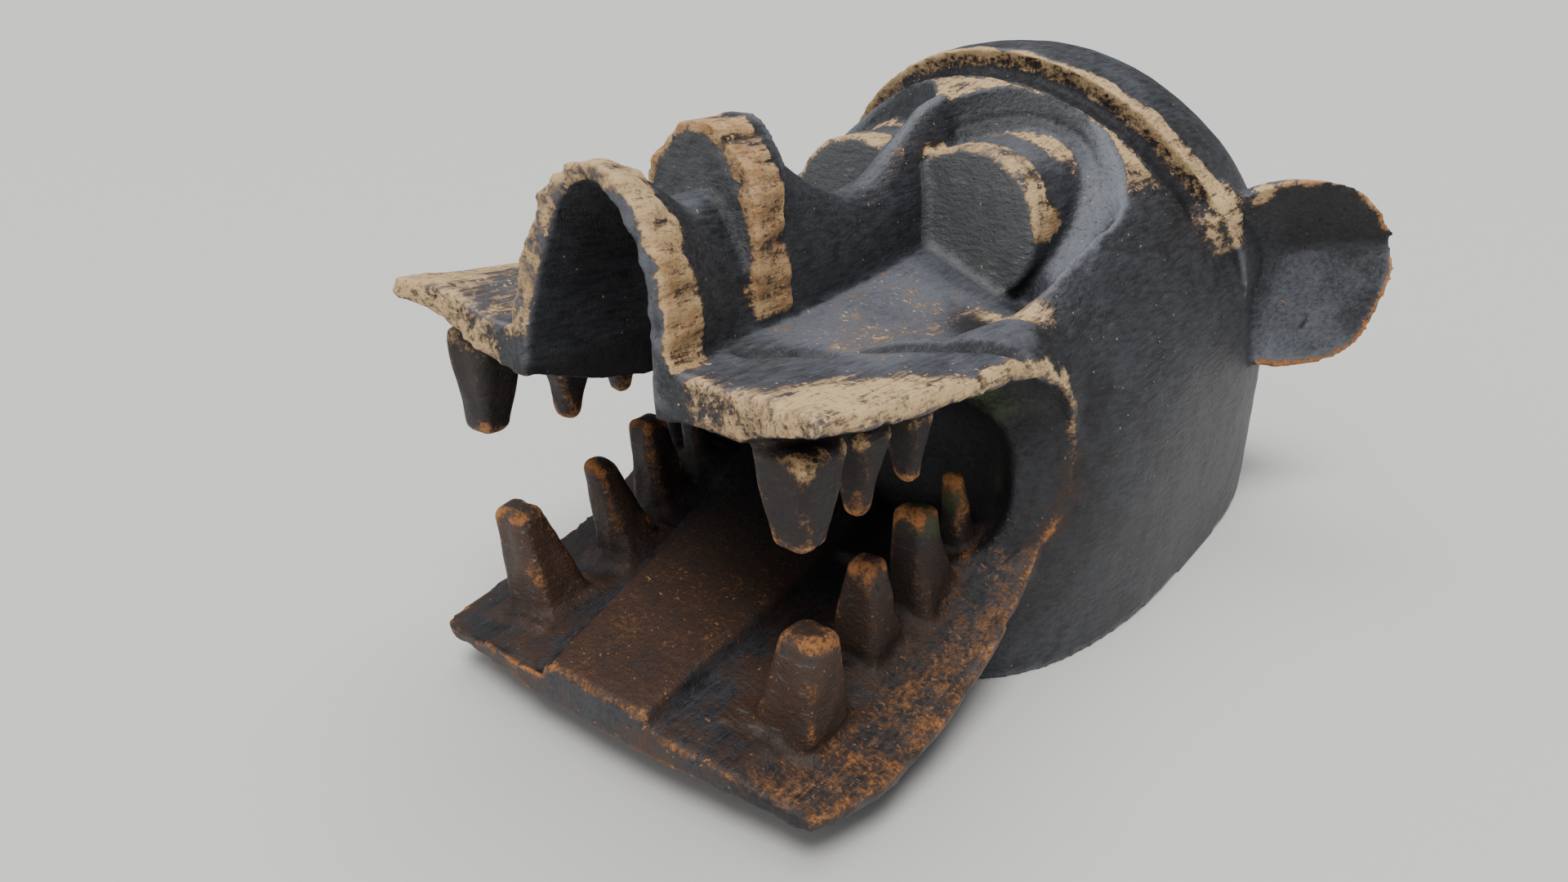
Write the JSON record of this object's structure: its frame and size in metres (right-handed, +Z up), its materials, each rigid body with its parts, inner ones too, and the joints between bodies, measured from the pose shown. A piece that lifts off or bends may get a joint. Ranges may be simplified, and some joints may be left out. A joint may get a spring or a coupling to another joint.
{
  "type": "carved wooden animal helmet mask",
  "caption": "Hollow carved wooden helmet mask of an animal with a wide open toothed mouth, curled nose hood, round eyes and raked ears.",
  "frame": {"origin": "centre of the bounding box's bottom, on the surface that the helmet's rim stands on", "axes": "+Z up, the mask's face looks along -Y, +X is to the right of someone who looks at the face from the front"},
  "size_m": [0.5188, 0.742, 0.364],
  "materials": {
    "patinated_wood": "dark satin patina, worn to bare tan wood on the raised edges"
  },
  "bodies": {
    "root": {"mask": "patinated_wood"}
  },
  "joints": []
}
